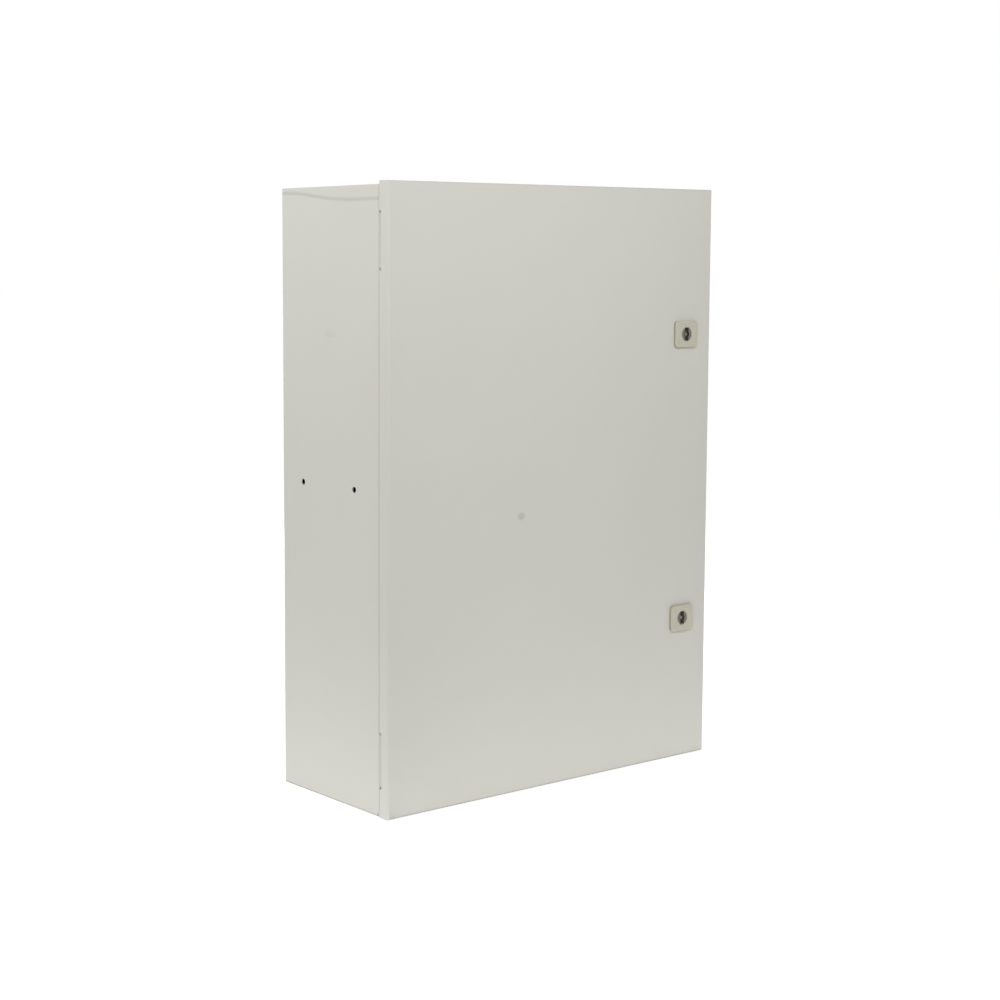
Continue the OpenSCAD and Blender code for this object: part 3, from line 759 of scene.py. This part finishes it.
low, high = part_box("upper_lock_insert")
insert_front = low.y
insert_radius = (high.x - low.x) / 2
grease_start = insert_front + 0.4 * MM
grease_full = insert_front + 2.5 * MM
wear_marks_per_metre = 420
cast_grain_per_metre = 1800
cast_grain_depth = 0.02 * MM
die_cast, tree, surface, place = new_finish("dull_die_cast")
wear = cloud(tree, place, wear_marks_per_metre, 4)
tone_between(tree, surface, wear, "#6a6760", "#827e76")
face_half = (insert_radius - HEAD_EDGE, 0, insert_radius - HEAD_EDGE)
inner = [oval(tree, place, (axis.x, 0, axis.z), face_half, 0.03) for axis in lock_axes.values()]
rim = reckon(tree, "SUBTRACT", 1.0, reckon(tree, "MAXIMUM", *inner))
tint(tree, surface, rim, "#d6d3cb", 0.8)
depth = ranged(tree, axes(tree, place)["Y"], grease_start, grease_full, 0, 1)
grease = reckon(tree, "MULTIPLY", depth, reckon(tree, "SUBTRACT", 1.0, rim))
tint(tree, surface, grease, "#5d5952", 0.9)
tree.links.new(reckon(tree, "SUBTRACT", 1.0, grease), surface.inputs["Metallic"])
gloss_between(tree, surface, wear, 0.32, 0.46)
raise_surface(tree, surface, cloud(tree, place, cast_grain_per_metre, 2), cast_grain_depth)

for level, axis_point in lock_axes.items():
    low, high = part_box(f"{level}_lock_insert")
    insert = lock_insert((high.x - low.x) / 2, axis_point.y - low.y, axis_point.y - high.y)
    fit(on_lock(insert, axis_point), f"{level}_lock_insert_cast", die_cast,
        f"{level}_lock", f"{level}_lock_insert")


# Lock cams: stamped and plated steel bars on the inserts' squares, held by washer-faced hexagon screws.
# They hang down while the lock is open and turn behind the front flange to shut it.
CAM_HOLE = 8.1 * MM
CAM_EDGE = 0.4 * MM
SCREW_FACE_RADIUS = 7 * MM
SCREW_FACE = 1.2 * MM
SCREW_ACROSS = 10 * MM


def lock_cam(width, reach, thick):
    """A flat bar with round ends and a square hole, from the origin up Z and reaching out along -Y."""
    piece = bar(width / 2, 0, thick)
    edit(piece, lambda p: p.y < width / 1000)
    bpy.ops.transform.translate(value=(0, width / 2 - reach, 0))
    leave_edit()
    combine(piece, block((CAM_HOLE, CAM_HOLE, 4 * thick), (0, 0, 0)), "DIFFERENCE")
    soften(piece, CAM_EDGE)
    return piece


def cam_screw(head_height):
    """A hexagon head on a washer face, from the origin up Z, with its shank below."""
    piece = bar(SCREW_FACE_RADIUS, 0, SCREW_FACE)
    soften(piece, TURNED_EDGE)
    head = hex_head(SCREW_ACROSS, head_height - SCREW_FACE / 2)
    head.data.transform(Matrix.Translation((0, 0, SCREW_FACE / 2)))
    combine(piece, head, "UNION")
    combine(piece, bar(SCREW_RADIUS, -SCREW_LENGTH, SCREW_FACE / 2), "UNION")
    return piece


for level, axis_point in lock_axes.items():
    low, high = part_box(f"{level}_lock_cam")
    cam = lock_cam(high.x - low.x, axis_point.z - low.z, high.y - low.y)
    cam_place = Vector((axis_point.x, high.y, axis_point.z))
    fit(on_lock(cam, cam_place), f"{level}_lock_cam_stamped", zinc,
        f"{level}_lock", f"{level}_lock_cam")
    screw_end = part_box(f"{level}_cam_screw")[1].y
    screw = copies(cam_screw(screw_end - high.y), [cam_place], (0, 1, 0))
    fit(screw, f"{level}_cam_screw_headed", steel, f"{level}_lock", f"{level}_cam_screw")


# Studio: a pale floor, an even white surround and soft lamps round the cabinet.
# The camera sees floor and surround as white, and the floor keeps the cabinet's soft shadow.
FLOOR_SIZE = 60
FLOOR_DROP = 0.2 * MM
FLOOR_TONE = (0.86, 0.86, 0.86, 1)
FLOOR_GLOW_SHARE = 0.6
FLOOR_GLOW = 1.46
SURROUND = 0.365
cabinet_middle = (0, 0, 0.36)
# Each lamp's name, place, target, width and height in metres, and power in watts.
LAMPS = (
    ("front_softbox", (0.03, -1.0, 1.0), (0.03, -0.1, 0.6), (0.6, 0.6), 4.5),
    ("left_softbox", (-1.0, 0.25, 1.0), (-0.25, 0.05, 0.6), (0.6, 0.6), 4.2),
    ("corner_softbox", (-1.0, -0.9, 1.1), (-0.25, -0.1, 0.65), (0.5, 0.5), 4.4),
    ("right_fill", (1.2, 0.5, 0.45), (0.25, 0.05, 0.36), (0.6, 0.7), 4),
    ("back_fill", (0.9, 1.9, 0.5), cabinet_middle, (1.5, 0.9), 16),
    ("left_floor_glow", (-0.425, 0.05, 0.001), (-0.425, 0.05, 1), (0.35, 0.5), 0.352),
    ("front_floor_glow", (0.115, -0.253, 0.001), (0.115, -0.253, 1), (0.71, 0.3), 0.368),
)


def seen_directly(tree):
    """1 for rays from the camera, a mirror or glass, and 0 for rays that only carry light."""
    path = tree.nodes.new("ShaderNodeLightPath").outputs
    seen = reckon(tree, "MAXIMUM", path["Is Camera Ray"], path["Is Glossy Ray"])
    return reckon(tree, "MAXIMUM", seen, path["Is Transmission Ray"])


deselect()
bpy.ops.mesh.primitive_plane_add(size=FLOOR_SIZE, location=(0, 0, -FLOOR_DROP))
bpy.ops.object.transform_apply(location=True, rotation=True, scale=True)
floor = bpy.context.object
floor.name = "studio_floor"
floor_paint = bpy.data.materials.new("studio_floor_paint")
floor_paint.use_nodes = True
tree = floor_paint.node_tree
matt = add_node(tree, "ShaderNodeBsdfDiffuse", {"Color": FLOOR_TONE}).outputs["BSDF"]
glow = add_node(tree, "ShaderNodeEmission", {"Strength": FLOOR_GLOW}).outputs["Emission"]
share = reckon(tree, "MULTIPLY", seen_directly(tree), FLOOR_GLOW_SHARE)
mixed = add_node(tree, "ShaderNodeMixShader", {0: share, 1: matt, 2: glow}).outputs["Shader"]
tree.links.new(mixed, tree.nodes["Material Output"].inputs["Surface"])
floor.data.materials.append(floor_paint)

world = bpy.data.worlds.new("studio")
bpy.context.scene.world = world
world.use_nodes = True
tree = world.node_tree
background = tree.nodes["Background"]
background.inputs["Color"].default_value = (1, 1, 1, 1)
strength = ranged(tree, seen_directly(tree), 0, 1, SURROUND, 1)
tree.links.new(strength, background.inputs["Strength"])

for name, lamp_place, target, size, power in LAMPS:
    deselect()
    bpy.ops.object.light_add(type="AREA", location=lamp_place)
    lamp = bpy.context.object
    lamp.name = name
    lamp.data.shape = "RECTANGLE"
    lamp.data.size, lamp.data.size_y = size
    lamp.data.energy = power
    lamp.rotation_euler = (Vector(target) - Vector(lamp_place)).to_track_quat("-Z", "Y").to_euler()
    lamp.visible_camera = False


# Camera: the photograph's own viewpoint, left of the door and a little above its middle.
# The lens is shifted as far as the photograph's framing needs.
camera_place = (-1500.9 * MM, -1728.1 * MM, 617.8 * MM)
camera_yaw = math.radians(37.623)
camera_pitch = math.radians(6.072)
focal_share = 1.9098
axis_pixel = (390.5, 461.1)
frame_pixels = 1000
sensor = 36

deselect()
bpy.ops.object.camera_add(location=camera_place, rotation=(math.pi / 2 - camera_pitch, 0, -camera_yaw))
camera = bpy.context.object
camera.data.sensor_width = sensor
camera.data.lens = focal_share * sensor
camera.data.shift_x = 0.5 - axis_pixel[0] / frame_pixels
camera.data.shift_y = axis_pixel[1] / frame_pixels - 0.5
bpy.context.scene.camera = camera
bpy.context.scene.view_settings.view_transform = "Standard"
